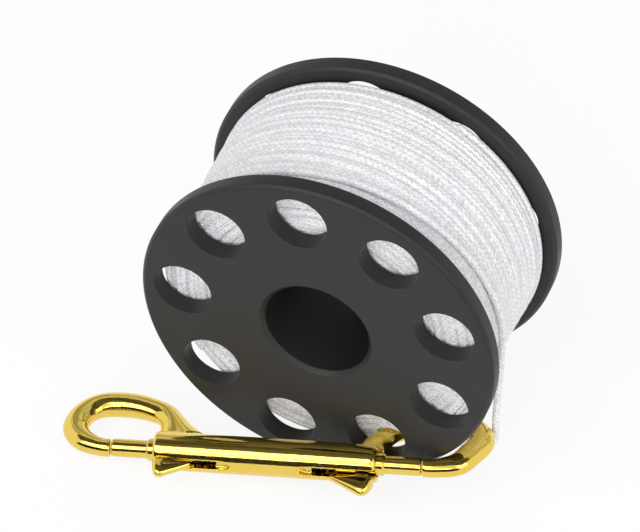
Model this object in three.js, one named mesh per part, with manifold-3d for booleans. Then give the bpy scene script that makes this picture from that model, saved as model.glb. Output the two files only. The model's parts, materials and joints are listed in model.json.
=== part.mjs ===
// A finger spool: two perforated flanges on a hub, a winding of braided line,
// and a double-ended bolt snap clipped through one flange hole.
// Millimetres, +Z up. The spool stands on its rims with its axis along Y, front flange towards -Y.
import * as THREE from 'three';
import { mergeVertices } from 'three/addons/utils/BufferGeometryUtils.js';
import Module from 'manifold-3d';

const wasm = await Module();
wasm.setup();

// Flanges and hub
const flange_diameter = 100;
const flange_thickness = 5.55;
const rim_chamfer = 0.9;
const bore_diameter = 29.4;
const bore_chamfer = 1.3;
const hole_diameter_share = 0.167;
const rim_web = 3.75;
const hole_count = 9;
const first_hole_deg = 17.6;
const snap_hole_index = 7;
const inner_width = 43.1;
const hub_diameter = 48;
const spigot_diameter = 39;
const spigot_length = 2;
const rim_facets = 40;
const bore_facets = 32;
const hole_facets = 24;

// Line and winding
const line_diameter = 1.9;
const winding_depth_front = 6.2;
const winding_depth_rear = 4.4;
const crossing_gap = 1;
const layer_turns = 17;
const turn_steps = 24;
const line_sides = 6;
const crossing_depth = 11.4;
const climb_turns = 1 / 6;
const crossing_turns = 5 / 12;
const step_crowding_share = 0.6;
const crowding_rounds = 6;
const lead_bend_share = 1.5;
const lead_steps = 3;
const pocket_share = 2.5;
const pocket_facets = [12, 8];
const press_facets = [16, 10];
const gap_parts = 4;

// Snap casting
const barrel_length = 61;
const barrel_diameter = 10.4;
const barrel_edge = 0.7;
const barrel_facets = 24;
const barrel_bore_diameter = 6.8;
const barrel_bore_depth = 27;
const barrel_bore_facets = 18;
const slot_length = 21.5;
const slot_width = 3.2;
const slot_end_facets = 12;
const gate_length = 12;
const eye_width = 19.8;
const left_eye_reach = 25;
const right_eye_reach = 27;
const wire_diameter = 5.3;
const hook_steps = 44;
const hook_sides = 12;

// Bolts, thumb knobs and springs
const bolt_diameter = 4.9;
const guide_diameter = 6.1;
const guide_stand_out = 2;
const guide_length = 13;
const bolt_chamfer = 0.4;
const bolt_facets = 16;
const knob_length = 10.6;
const knob_height = 5;
const knob_width = 4.2;
const knob_bevel = 0.5;
const knob_setback = 1.2;
const neck_length = 6;
const neck_width = 2.5;
const neck_setback = 3;
const neck_reach = 4.2;
const spring_diameter = 6;
const spring_wire = 0.6;
const spring_coils = 7;
const coil_steps = 8;
const coil_sides = 5;

// How the snap lies in its hole
const snap_yaw_deg = 11.58;
const snap_slope_deg = 5.55;
const snap_roll_deg = -6;
const arm_rest_deg = -104;
const arm_inset = 2.2;

// Line end on the snap's right hook
const tail_sides = 8;
const tail_steps = 36;
const knot_diameter = 4.2;
const loop_steps = 20;

// Clearances
const seat_gap = 0.3;
const arm_gap = 0.8;
const face_gap = 0.6;
const press_gap = 0.9;
const press_room = 1.55;
const press_stride = 8;
const overrun = 2;

// Hook routes, from the barrel's wall round the eye to the tip. Each row holds the way out from
// the barrel's end and the way off its axis, then the half thickness in and across the hook's plane.
const left_hook_shares = [
  [-0.234, 0.197, 2.80, 1.12],
  [-0.173, 0.380, 1.90, 1.08],
  [-0.104, 0.560, 1.38, 1.06],
  [0.006, 0.735, 1.28, 1.10],
  [0.176, 0.835, 1.28, 1.18],
  [0.392, 0.900, 1.32, 1.26],
  [0.588, 0.905, 1.32, 1.28],
  [0.736, 0.868, 1.32, 1.24],
  [0.851, 0.770, 1.34, 1.16],
  [0.935, 0.590, 1.36, 1.12],
  [0.947, 0.340, 1.36, 1.10],
  [0.832, 0.120, 1.24, 1.08],
];
const right_hook_shares = [
  [-0.125, 0.197, 1.90, 1.02],
  [-0.091, 0.328, 1.45, 0.94],
  [-0.035, 0.460, 1.28, 0.92],
  [0.046, 0.612, 1.04, 0.94],
  [0.217, 0.768, 1.00, 0.98],
  [0.444, 0.896, 1.00, 1.00],
  [0.689, 0.950, 1.06, 1.02],
  [0.876, 0.850, 1.20, 1.08],
  [0.974, 0.600, 1.32, 1.12],
  [0.891, 0.332, 1.37, 1.12],
  [0.782, 0.105, 1.28, 1.10],
];
const tip_off_share = -0.012;
const tip_thickness_share = 0.94;
const loop_place_share = 0.52;
const loop_lean_deg = 150;

// Thumb knob outline: way in from its thick end as a share of its length, height as a share of its height
const knob_outline_shares = [
  [0, 0],
  [1, 0],
  [0.97, 0.16],
  [0.38, 0.88],
  [0.3, 1],
  [0.22, 1],
  [0.06, 0.5],
];

// The tail's free stretch from the winding to its knot, chosen by hand, from the spool's centre. Its
// ends are carried to the winding's end and to the knot when a size changes.
const tail_route = [
  [46.22, -10.15, -2.2],
  [46.22, -10.15, -4.1],
  [46.12, -10.23, -9],
  [45.9, -10.22, -15],
  [45.61, -10.17, -21.5],
  [45.35, -10.1, -28],
  [45.19, -10.01, -34],
  [45.13, -9.79, -39.44],
  [44.79, -9.53, -41.16],
  [43.88, -9.12, -42.59],
  [42.5, -8.62, -43.52],
  [40.89, -8.06, -43.87],
  [39.43, -7.6, -43.89],
];

const degrees = Math.PI / 180;
const full_turn = 2 * Math.PI;
const flange_radius = flange_diameter / 2;
const bore_radius = bore_diameter / 2;
const hole_radius = (flange_diameter * hole_diameter_share) / 2;
const hole_circle_radius = flange_radius - rim_web - hole_radius;
const winding_radius_front = flange_radius - winding_depth_front;
const winding_radius_rear = flange_radius - winding_depth_rear;
const half_width = inner_width / 2;
const half_facet = Math.PI / rim_facets;
const line_radius = line_diameter / 2;
const barrel_radius = barrel_diameter / 2;
const half_barrel = barrel_length / 2;
const wire_radius = wire_diameter / 2;

// Solids

function solid(geometry) {
  const bare = geometry.index ? geometry.toNonIndexed() : geometry.clone();
  bare.deleteAttribute('normal');
  bare.deleteAttribute('uv');
  const merged = mergeVertices(bare);
  const places = merged.attributes.position.array;
  const mesh = new wasm.Mesh({
    numProp: 3,
    vertProperties: Float32Array.from(places),
    triVerts: Uint32Array.from(merged.index.array),
  });
  return new wasm.Manifold(mesh);
}

function geometryOf(body) {
  const mesh = body.getMesh();
  const geometry = new THREE.BufferGeometry();
  geometry.setAttribute('position', new THREE.BufferAttribute(mesh.vertProperties, 3));
  geometry.setIndex(new THREE.BufferAttribute(mesh.triVerts, 1));
  geometry.computeVertexNormals();
  return geometry;
}

function named(name, geometry, material) {
  const mesh = new THREE.Mesh(geometry, material);
  mesh.name = name;
  return mesh;
}

function points2(rows) {
  return rows.map(([a, b]) => new THREE.Vector2(a, b));
}

// A round cutter of a given radius along Y, from low to high.
function cutterAlongY(radius, low, high, facets) {
  const cylinder = new THREE.CylinderGeometry(radius, radius, high - low, facets);
  return cylinder.translate(0, (low + high) / 2, 0);
}

// A closed tube through a list of points, its rings carried along without twist.
function tubeThrough(points, radius, sides) {
  const places = [];
  const faces = [];
  const last = points.length - 1;
  let side = null;
  points.forEach((point, i) => {
    const before = points[Math.max(i - 1, 0)];
    const after = points[Math.min(i + 1, last)];
    const along = after.clone().sub(before).normalize();
    if (side === null) {
      side = Math.abs(along.y) < 0.5 ? new THREE.Vector3(0, 1, 0) : new THREE.Vector3(1, 0, 0);
    }
    side = side.clone().addScaledVector(along, -side.dot(along)).normalize();
    const across = along.clone().cross(side);
    for (let k = 0; k < sides; k += 1) {
      const angle = (full_turn * k) / sides;
      const place = point.clone();
      place.addScaledVector(side, radius * Math.cos(angle));
      place.addScaledVector(across, radius * Math.sin(angle));
      places.push(place.x, place.y, place.z);
    }
  });
  for (let i = 0; i < last; i += 1) {
    for (let k = 0; k < sides; k += 1) {
      const a = i * sides + k;
      const b = i * sides + ((k + 1) % sides);
      faces.push(a, b, b + sides, a, b + sides, a + sides);
    }
  }
  for (let k = 1; k < sides - 1; k += 1) {
    faces.push(0, k + 1, k);
    faces.push(last * sides, last * sides + k, last * sides + k + 1);
  }
  const geometry = new THREE.BufferGeometry();
  geometry.setAttribute('position', new THREE.Float32BufferAttribute(places, 3));
  geometry.setIndex(faces);
  geometry.computeVertexNormals();
  return geometry;
}

// The least gap between stretches of a wound tube that are more than a given count of points apart.
function leastSelfGap(points, radius, apart) {
  let least = Infinity;
  for (let i = 0; i < points.length; i += 1) {
    for (let j = i + apart; j < points.length; j += 1) {
      least = Math.min(least, points[i].distanceTo(points[j]));
    }
  }
  return least - 2 * radius;
}

// A curve's points with more of them between, so that gaps are measured finely.
function between(points, parts) {
  const fine = [];
  for (let i = 0; i < points.length - 1; i += 1) {
    for (let k = 0; k < parts; k += 1) {
      fine.push(points[i].clone().lerp(points[i + 1], k / parts));
    }
  }
  fine.push(points[points.length - 1].clone());
  return fine;
}

// Spool

function holePlace(index) {
  const angle = (first_hole_deg + (index * 360) / hole_count) * degrees;
  return new THREE.Vector2(hole_circle_radius * Math.cos(angle), hole_circle_radius * Math.sin(angle));
}

// A flange lies from its outer face at zero to its inner face at the flange's thickness. The rear one
// is turned over about X, so its holes are cut upside down to line up with the front ones.
function flangeGeometry(up) {
  const recess_radius = spigot_diameter / 2 + seat_gap;
  const recess_floor = flange_thickness - spigot_length;
  const rim = points2([
    [bore_radius + bore_chamfer, 0],
    [flange_radius - rim_chamfer, 0],
    [flange_radius, rim_chamfer],
    [flange_radius, flange_thickness - rim_chamfer],
    [flange_radius - rim_chamfer, flange_thickness],
    [recess_radius, flange_thickness],
    [recess_radius, recess_floor],
    [bore_radius, recess_floor],
    [bore_radius, bore_chamfer],
    [bore_radius + bore_chamfer, 0],
  ]);
  let flange = solid(new THREE.LatheGeometry(rim, rim_facets, half_facet));
  for (let i = 0; i < hole_count; i += 1) {
    const place = holePlace(i);
    const cutter = cutterAlongY(hole_radius, -overrun, flange_thickness + overrun, hole_facets);
    cutter.translate(place.x, 0, up * place.y);
    flange = flange.subtract(solid(cutter));
  }
  return geometryOf(flange);
}

function hubGeometry() {
  const hub_radius = hub_diameter / 2;
  const spigot_radius = spigot_diameter / 2;
  const shoulder = half_width - seat_gap;
  const tip = half_width + spigot_length - seat_gap;
  const profile = points2([
    [bore_radius, -tip],
    [spigot_radius, -tip],
    [spigot_radius, -shoulder],
    [hub_radius, -shoulder],
    [hub_radius, shoulder],
    [spigot_radius, shoulder],
    [spigot_radius, tip],
    [bore_radius, tip],
    [bore_radius, -tip],
  ]);
  return new THREE.LatheGeometry(profile, bore_facets);
}

// Snap frame: X along the barrel from its middle, Y towards the hook's far side, Z out of its plane.

function snapFrame() {
  const yaw = snap_yaw_deg * degrees;
  const slope = snap_slope_deg * degrees;
  const roll = snap_roll_deg * degrees;
  const frame = new THREE.Matrix4().makeRotationZ(yaw);
  frame.multiply(new THREE.Matrix4().makeRotationY(-slope));
  frame.multiply(new THREE.Matrix4().makeRotationX(roll));
  const hole = holePlace(snap_hole_index);
  const rest = hole_radius - wire_radius - arm_gap;
  const rest_angle = arm_rest_deg * degrees;
  const arm = new THREE.Vector3(
    hole.x + rest * Math.cos(rest_angle),
    -half_width - flange_thickness / 2,
    hole.y + rest * Math.sin(rest_angle),
  );
  const to_axis = flange_thickness / 2 + barrel_radius + face_gap + arm_inset * Math.sin(yaw);
  const depth = to_axis / (Math.cos(yaw) * Math.cos(roll));
  const local = new THREE.Vector3(half_barrel - arm_inset, depth, 0).applyMatrix4(frame);
  frame.setPosition(arm.sub(local));
  return frame;
}

const snap_frame = snapFrame();

function hookCurves(shares, reach) {
  const route = shares.map(([out, off]) => new THREE.Vector3(half_barrel + out * reach, off * eye_width, 0));
  const widths = shares.map(([, , plane, across]) => new THREE.Vector3(plane, across, 0));
  for (const back of [wire_radius, 0]) {
    const out = half_barrel + gate_length + seat_gap + back;
    route.push(new THREE.Vector3(out, tip_off_share * eye_width, 0));
    widths.push(new THREE.Vector3(tip_thickness_share, tip_thickness_share, 0));
  }
  return [
    new THREE.CatmullRomCurve3(route, false, 'centripetal'),
    new THREE.CatmullRomCurve3(widths, false, 'catmullrom'),
  ];
}

// A hook is a cylinder of unit size bent along its route, thicker at its root and its bend.
function hookGeometry(shares, reach) {
  const [route, widths] = hookCurves(shares, reach);
  const rod = new THREE.CylinderGeometry(1, 1, 1, hook_sides, hook_steps);
  const places = rod.attributes.position;
  const place = new THREE.Vector3();
  for (let i = 0; i < places.count; i += 1) {
    place.fromBufferAttribute(places, i);
    const t = Math.min(Math.max(place.y + 0.5, 0), 1);
    const along = route.getTangent(t);
    const aside = new THREE.Vector3(along.y, -along.x, 0);
    const width = widths.getPoint(t);
    const bent = route.getPoint(t);
    bent.addScaledVector(aside, place.x * width.x * wire_radius);
    bent.z += place.z * width.y * wire_radius;
    places.setXYZ(i, bent.x, bent.y, bent.z);
  }
  return rod;
}

function barrelGeometry() {
  const profile = points2([
    [0, -half_barrel],
    [barrel_radius - barrel_edge, -half_barrel],
    [barrel_radius, barrel_edge - half_barrel],
    [barrel_radius, half_barrel - barrel_edge],
    [barrel_radius - barrel_edge, half_barrel],
    [0, half_barrel],
  ]);
  return new THREE.LatheGeometry(profile, barrel_facets).rotateZ(-Math.PI / 2);
}

// The bore and thumb slot of the barrel's right half.
function barrelCutters() {
  const bore = new THREE.CylinderGeometry(
    barrel_bore_diameter / 2,
    barrel_bore_diameter / 2,
    barrel_bore_depth + overrun,
    barrel_bore_facets,
  );
  bore.rotateZ(-Math.PI / 2);
  bore.translate(half_barrel - barrel_bore_depth / 2 + overrun / 2, 0, 0);
  const straight = slot_length - slot_width / 2;
  const depth = barrel_radius + overrun;
  const slot = new THREE.BoxGeometry(straight + overrun, depth, slot_width);
  slot.translate(half_barrel - straight / 2 + overrun / 2, -depth / 2, 0);
  const slot_end = cutterAlongY(slot_width / 2, -depth, 0, slot_end_facets);
  slot_end.translate(half_barrel - straight, 0, 0);
  return [bore, slot, slot_end];
}

// The mirror image across the middle of the barrel, with its faces turned out again.
function toLeft(geometry) {
  const flipped = geometry.clone().applyMatrix4(new THREE.Matrix4().makeScale(-1, 1, 1));
  const faces = flipped.index.array;
  for (let i = 0; i < faces.length; i += 3) {
    [faces[i], faces[i + 1]] = [faces[i + 1], faces[i]];
  }
  return flipped;
}

function snapBodyGeometry() {
  let body = solid(barrelGeometry());
  body = body.add(solid(hookGeometry(right_hook_shares, right_eye_reach)));
  body = body.add(solid(toLeft(hookGeometry(left_hook_shares, left_eye_reach))));
  for (const cutter of barrelCutters()) {
    body = body.subtract(solid(cutter));
    body = body.subtract(solid(toLeft(cutter)));
  }
  return geometryOf(body);
}

function boltGeometry() {
  const guide_radius = guide_diameter / 2;
  const bolt_radius = bolt_diameter / 2;
  const front = half_barrel + guide_stand_out;
  const tip = half_barrel + gate_length;
  const profile = points2([
    [0, front - guide_length],
    [guide_radius, front - guide_length],
    [guide_radius, front - bolt_chamfer],
    [bolt_radius, front],
    [bolt_radius, tip - bolt_chamfer],
    [bolt_radius - bolt_chamfer, tip],
    [0, tip],
  ]);
  const bolt = solid(new THREE.LatheGeometry(profile, bolt_facets).rotateZ(-Math.PI / 2));
  const pocket_length = neck_length + 2 * seat_gap;
  const pocket_depth = guide_radius + overrun;
  const pocket = new THREE.BoxGeometry(pocket_length, pocket_depth, neck_width + 2 * seat_gap);
  const pocket_floor = barrel_radius - neck_reach - 2 * seat_gap;
  pocket.translate(
    half_barrel - neck_setback - neck_length / 2,
    -pocket_floor - pocket_depth / 2,
    0,
  );
  return geometryOf(bolt.subtract(solid(pocket)));
}

function knobGeometry() {
  const base = barrel_radius + seat_gap;
  const thick_end = half_barrel - knob_setback;
  const outline = knob_outline_shares.map(([along, up]) => new THREE.Vector2(
    thick_end - along * knob_length,
    -base - up * knob_height,
  ));
  const wedge = new THREE.ExtrudeGeometry(new THREE.Shape(outline), {
    depth: knob_width - 2 * knob_bevel,
    bevelThickness: knob_bevel,
    bevelSize: knob_bevel,
    bevelOffset: -knob_bevel,
    bevelSegments: 1,
    steps: 1,
  });
  wedge.translate(0, 0, knob_bevel - knob_width / 2);
  const neck_height = neck_reach + knob_bevel;
  const neck = new THREE.BoxGeometry(neck_length, neck_height, neck_width);
  neck.translate(half_barrel - neck_setback - neck_length / 2, -base - knob_bevel + neck_height / 2, 0);
  return geometryOf(solid(wedge).add(solid(neck)));
}

// A spring fills the barrel from the bolt's back to the bore's floor, each end turned in along the axis.
function springPoints() {
  const back = half_barrel + guide_stand_out - guide_length - seat_gap;
  const floor = half_barrel - barrel_bore_depth + seat_gap;
  const radius = (spring_diameter - spring_wire) / 2;
  const lead = 2 * spring_wire;
  const start = back - lead;
  const length = start - floor - lead;
  const steps = spring_coils * coil_steps;
  const coil = [];
  for (let i = 0; i <= steps; i += 1) {
    const angle = (full_turn * i) / coil_steps;
    const along = start - (length * i) / steps;
    coil.push(new THREE.Vector3(along, radius * Math.cos(angle), radius * Math.sin(angle)));
  }
  const first = coil[0];
  const last = coil[steps];
  const ease = spring_wire / 2;
  return [
    new THREE.Vector3(back, first.y, first.z - ease),
    new THREE.Vector3(back - spring_wire, first.y, first.z - ease),
    ...coil,
    new THREE.Vector3(floor + spring_wire, last.y, last.z + ease),
    new THREE.Vector3(floor, last.y, last.z + ease),
  ];
}

// Winding. Angles run clockwise from three o'clock as the front flange is seen.

function layerRadius(y) {
  const share = (y + half_width) / inner_width;
  const outer = winding_radius_front + (winding_radius_rear - winding_radius_front) * share;
  return outer - line_radius;
}

function onSpool(radius, y, angle) {
  return new THREE.Vector3(radius * Math.cos(angle), y, -radius * Math.sin(angle));
}

// Points along the right hook where it runs behind the front flange.
function armPoints() {
  const [route] = hookCurves(right_hook_shares, right_eye_reach);
  return route.getPoints(gap_parts * hook_steps).map((point) => point.applyMatrix4(snap_frame));
}

const arm_points = armPoints();

// The soft line gives way where the hook's arm presses on it.
function pressedRadius(nominal, y, angle) {
  const reach = wire_radius + line_radius + press_gap;
  let radius = nominal;
  for (const arm of arm_points) {
    const toward = arm.x * Math.cos(angle) - arm.z * Math.sin(angle);
    const off = arm.x * arm.x + arm.z * arm.z - toward * toward + (arm.y - y) ** 2;
    if (toward > 0 && off < reach * reach) {
      radius = Math.min(radius, toward - Math.sqrt(reach * reach - off));
    }
  }
  return radius;
}

function smooth(share) {
  const s = Math.min(Math.max(share, 0), 1);
  return s * s * (3 - 2 * s);
}

// The step angle whose place on the spool is the snap's hole.
function crowdAngle() {
  const hole = holePlace(snap_hole_index);
  const wanted = -Math.atan2(hole.y, hole.x);
  let crowd = wanted;
  for (let i = 0; i < crowding_rounds; i += 1) {
    crowd = wanted + step_crowding_share * Math.sin(crowd);
  }
  return crowd;
}

// One layer from the rear flange to the front one, then a last turn that climbs on top,
// crosses part of the way back and leaves at three o'clock.
function windingPoints() {
  const pitch = (inner_width - 2 * seat_gap - line_diameter) / layer_turns;
  const y_front = -half_width + seat_gap + line_radius;
  const lift = line_diameter + crossing_gap;
  const y_leave = y_front + crossing_depth - seat_gap - line_radius;
  const top_turns = climb_turns + crossing_turns;
  const crowd = crowdAngle();
  const points = [];
  const steps = Math.round((layer_turns + top_turns) * turn_steps);
  for (let i = 0; i <= steps; i += 1) {
    const left = (steps - i) / turn_steps;
    const even = -full_turn * left;
    const angle = even - step_crowding_share * Math.sin(even - crowd) - step_crowding_share * Math.sin(crowd);
    const layer_left = left - top_turns;
    let y = y_front + pitch * Math.max(layer_left, 0);
    let radius = pressedRadius(layerRadius(y), y, angle);
    if (layer_left < 0) {
      const climbed = smooth(-layer_left / climb_turns);
      const crossed = smooth((-layer_left - climb_turns) / crossing_turns);
      y = y_front + (y_leave - y_front) * crossed;
      radius = layerRadius(y) + lift * climbed;
    }
    points.push(onSpool(radius, y, angle));
  }
  const end = points[points.length - 1];
  points.push(new THREE.Vector3(end.x, end.y, end.z - line_diameter));
  return points;
}

// The layer's first end turns in to a pocket in the line below.
function turnedIn(points) {
  const first = points[0];
  const inward = new THREE.Vector3(-first.x, 0, -first.z).normalize();
  const along = points[1].clone().sub(first).normalize();
  const bend = line_diameter * lead_bend_share;
  const corner = first.clone().addScaledVector(along, -bend);
  const lead = [];
  for (let k = lead_steps; k > 0; k -= 1) {
    const a = (Math.PI * k) / (2 * lead_steps);
    const place = first.clone();
    place.addScaledVector(along, -bend * Math.sin(a));
    place.addScaledVector(inward, bend * (1 - Math.cos(a)));
    lead.push(place);
  }
  const foot = corner.clone().addScaledVector(inward, bend + line_diameter);
  return [foot, ...lead, ...points];
}

const winding_points = turnedIn(windingPoints());

function coreGeometry() {
  const sag = Math.cos((Math.PI * (1 + step_crowding_share)) / turn_steps);
  const under = (y) => layerRadius(y) * sag - line_radius - seat_gap;
  const inner = hub_diameter / 2 + seat_gap;
  const end = half_width - seat_gap;
  const profile = points2([
    [inner, -end],
    [under(-half_width), -end],
    [under(half_width), end],
    [inner, end],
    [inner, -end],
  ]);
  let core = solid(new THREE.LatheGeometry(profile, 2 * turn_steps));
  const foot = winding_points[0];
  const pocket_radius = pocket_share * line_diameter;
  const pocket = new THREE.SphereGeometry(pocket_radius, ...pocket_facets);
  pocket.translate(foot.x, foot.y, foot.z);
  core = core.subtract(solid(pocket));
  const press_radius = wire_radius + line_diameter + press_gap + press_room;
  for (let i = 0; i < arm_points.length; i += press_stride) {
    const arm = arm_points[i];
    if (Math.hypot(arm.x, arm.z) < flange_radius && arm.y > -half_width - line_diameter) {
      const press = new THREE.SphereGeometry(press_radius, ...press_facets);
      press.translate(arm.x, arm.y, arm.z);
      core = core.subtract(solid(press));
    }
  }
  return geometryOf(core);
}

// Line end: a stretch down behind the right hook to a knot under its rod, and a loop round the rod.

function loopFrame() {
  const [route, widths] = hookCurves(right_hook_shares, right_eye_reach);
  const centre = route.getPoint(loop_place_share);
  const along = route.getTangent(loop_place_share);
  const out = new THREE.Vector3(along.y, -along.x, 0);
  const width = widths.getPoint(loop_place_share);
  const ring_radius = Math.max(width.x, width.y) * wire_radius + seat_gap + line_radius;
  return { centre, out, ring_radius };
}

function loopGeometry() {
  const { centre, out, ring_radius } = loopFrame();
  const ring = new THREE.TorusGeometry(ring_radius, line_radius, tail_sides, loop_steps);
  const up = new THREE.Vector3(0, 0, 1);
  const frame = new THREE.Matrix4().makeBasis(out, up, out.clone().cross(up));
  frame.setPosition(centre);
  return ring.applyMatrix4(frame);
}

function knotPlace() {
  const { centre, out, ring_radius } = loopFrame();
  const lean = loop_lean_deg * degrees;
  const away = ring_radius + line_radius + seat_gap + knot_diameter / 2;
  const place = centre.clone().addScaledVector(out, -away * Math.sin(lean));
  place.z += away * Math.cos(lean);
  return place;
}

function knotGeometry() {
  const place = knotPlace();
  return new THREE.IcosahedronGeometry(knot_diameter / 2, 1).translate(place.x, place.y, place.z);
}

function tailPoints() {
  const rows = tail_route.map((row) => new THREE.Vector3(...row));
  const last = rows.length - 1;
  const start = winding_points[winding_points.length - 1].clone();
  start.z -= seat_gap;
  const end = knotPlace().applyMatrix4(snap_frame);
  end.x += knot_diameter / 2 + seat_gap;
  const start_shift = start.sub(rows[0]);
  const end_shift = end.sub(rows[last]);
  return rows.map((row, i) => {
    const share = i / last;
    return row.clone().addScaledVector(start_shift, 1 - share).addScaledVector(end_shift, share);
  });
}

function tailGeometry() {
  const path = new THREE.CatmullRomCurve3(tailPoints());
  const section = new THREE.Shape();
  for (let k = 0; k < tail_sides; k += 1) {
    const angle = (full_turn * k) / tail_sides;
    const [x, y] = [line_radius * Math.cos(angle), line_radius * Math.sin(angle)];
    if (k === 0) section.moveTo(x, y);
    else section.lineTo(x, y);
  }
  section.closePath();
  return new THREE.ExtrudeGeometry(section, { steps: tail_steps, extrudePath: path });
}

// Materials

function black_plastic() {
  return new THREE.MeshStandardMaterial({ color: 0x3a3a3b, roughness: 0.5, metalness: 0 });
}

function white_line() {
  return new THREE.MeshStandardMaterial({ color: 0xe6e6e8, roughness: 0.85, metalness: 0 });
}

function polished_brass() {
  return new THREE.MeshStandardMaterial({ color: 0xe0b84a, roughness: 0.15, metalness: 1 });
}

function spring_steel() {
  return new THREE.MeshStandardMaterial({ color: 0xa8a8a8, roughness: 0.35, metalness: 1 });
}

// Assembly

function spoolGroup() {
  const group = new THREE.Group();
  const front = named('front_flange', flangeGeometry(1), black_plastic());
  front.position.y = -half_width - flange_thickness;
  const rear = named('rear_flange', flangeGeometry(-1), black_plastic());
  rear.rotation.set(Math.PI, 0, 0);
  rear.position.y = half_width + flange_thickness;
  group.add(front, rear);
  group.add(named('hub', hubGeometry(), black_plastic()));
  group.add(named('wound_line_core', coreGeometry(), white_line()));
  group.add(named('wound_line_outer', tubeThrough(winding_points, line_radius, line_sides), white_line()));
  group.add(named('line_tail', tailGeometry(), white_line()));
  return group;
}

function snapGroup() {
  const group = new THREE.Group();
  const spring_points = springPoints();
  group.add(named('snap_body', snapBodyGeometry(), polished_brass()));
  for (const side of ['left', 'right']) {
    const place = side === 'left' ? toLeft : (geometry) => geometry;
    group.add(named(`${side}_bolt`, place(boltGeometry()), polished_brass()));
    group.add(named(`${side}_thumb_knob`, place(knobGeometry()), polished_brass()));
    const spring = tubeThrough(spring_points, spring_wire / 2, coil_sides);
    group.add(named(`${side}_spring`, place(spring), spring_steel()));
  }
  group.add(named('tail_loop', loopGeometry(), white_line()));
  group.add(named('tail_knot', knotGeometry(), white_line()));
  group.applyMatrix4(snap_frame);
  return group;
}

function printGaps() {
  const near_turn = gap_parts - 1;
  const winding = leastSelfGap(between(winding_points, gap_parts), line_radius, near_turn * turn_steps);
  const spring = leastSelfGap(between(springPoints(), gap_parts), spring_wire / 2, near_turn * coil_steps);
  console.log(`least gap of the winding to itself ${winding.toFixed(2)} mm`);
  console.log(`least gap of a spring to itself ${spring.toFixed(2)} mm`);
}

function assemble() {
  const object = new THREE.Group();
  object.add(spoolGroup(), snapGroup());
  object.updateMatrixWorld(true);
  const box = new THREE.Box3();
  object.traverse((item) => {
    if (item.isMesh && !item.name.startsWith('line_tail') && !item.name.startsWith('tail_')) {
      box.union(new THREE.Box3().setFromObject(item, true));
    }
  });
  const middle = box.getCenter(new THREE.Vector3());
  object.position.set(-middle.x, -middle.y, -box.min.z);
  return object;
}

printGaps();

export default assemble();
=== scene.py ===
import json
import math

import bmesh
import bpy
import numpy as np
from mathutils import Matrix, Vector


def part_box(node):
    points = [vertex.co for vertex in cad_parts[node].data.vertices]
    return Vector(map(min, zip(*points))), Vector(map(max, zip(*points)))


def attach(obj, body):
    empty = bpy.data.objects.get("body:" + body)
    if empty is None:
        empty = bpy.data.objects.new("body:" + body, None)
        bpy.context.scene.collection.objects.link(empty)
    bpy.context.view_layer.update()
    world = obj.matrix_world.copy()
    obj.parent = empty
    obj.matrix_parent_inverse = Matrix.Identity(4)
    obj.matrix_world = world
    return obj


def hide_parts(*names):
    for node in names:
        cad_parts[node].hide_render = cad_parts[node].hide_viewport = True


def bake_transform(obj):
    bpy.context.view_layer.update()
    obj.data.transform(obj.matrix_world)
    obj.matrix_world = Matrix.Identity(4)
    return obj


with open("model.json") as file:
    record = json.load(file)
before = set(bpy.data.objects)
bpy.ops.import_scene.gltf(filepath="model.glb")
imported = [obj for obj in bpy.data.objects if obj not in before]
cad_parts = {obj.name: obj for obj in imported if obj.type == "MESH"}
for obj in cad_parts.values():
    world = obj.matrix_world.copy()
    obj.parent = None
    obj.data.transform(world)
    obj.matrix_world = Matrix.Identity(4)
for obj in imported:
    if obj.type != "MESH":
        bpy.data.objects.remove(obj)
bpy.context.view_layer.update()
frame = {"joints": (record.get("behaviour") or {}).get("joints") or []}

# A finger spool: black perforated flanges, braided white line, and a polished brass bolt snap.
# Places are in metres in the row frame. Sizes in capitals are in millimetres and go through mm(),
# unless their comment says that they are shares, angles or counts.


def mm(value):
    return value * 0.001


def in_mm(value):
    return value * 1000


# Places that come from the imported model

front_low, front_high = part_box("front_flange")
rear_low, rear_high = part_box("rear_flange")
axis_x = (front_low.x + front_high.x) / 2
axis_z = (front_low.z + front_high.z) / 2
rim_radius = (front_high.z - front_low.z) / 2
front_face, front_inner = front_low.y, front_high.y
rear_inner, rear_face = rear_low.y, rear_high.y
spool_centre = Vector((axis_x, (front_inner + rear_inner) / 2, axis_z))
spool_axis = (0, 1, 0)

# The hinge's place from the snap's middle, along the barrel and off its axis
PIVOT_ALONG = 28.3
PIVOT_OFF = 8.8

joints = {joint["name"]: joint for joint in frame["joints"]}
along_snap = Vector(joints["left_bolt_slide"]["axis"]).normalized()
across_snap = Vector(joints["snap_swing"]["axis"]).normalized()
out_of_snap = along_snap.cross(across_snap).normalized()
pivot = Vector(joints["snap_swing"]["pos_m"])
snap_middle = pivot - along_snap * mm(PIVOT_ALONG) - across_snap * mm(PIVOT_OFF)


def axes_matrix(place, x, y, z):
    """A matrix that puts a thing's own axes along x, y and z at a place."""
    return Matrix.Translation(place) @ Matrix(
        ((x.x, y.x, z.x, 0), (x.y, y.y, z.y, 0), (x.z, y.z, z.z, 0), (0, 0, 0, 1))
    )


snap_matrix = axes_matrix(snap_middle, along_snap, across_snap, out_of_snap)

# Spool: radii of the finger bore, the holes, their circle, the hub and the line, and the edges.
# The hub lines the bore, so the flanges' own bore is a little wider than the lining.
BORE = 14.7
LINING = 0.04
LINING_ROOM = 0.05
BORE_EDGE = 1.2
RIM_EDGE = 0.9
EDGE_ROUND = 0.22
HOLE = 8.2
HOLE_EDGE = 0.1
HOLE_CIRCLE = 37.9
HOLES = 9  # count
FIRST_HOLE = math.radians(17.6)
HUB = 24.0
HUB_END = 1.3
LINE = 0.95

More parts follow.
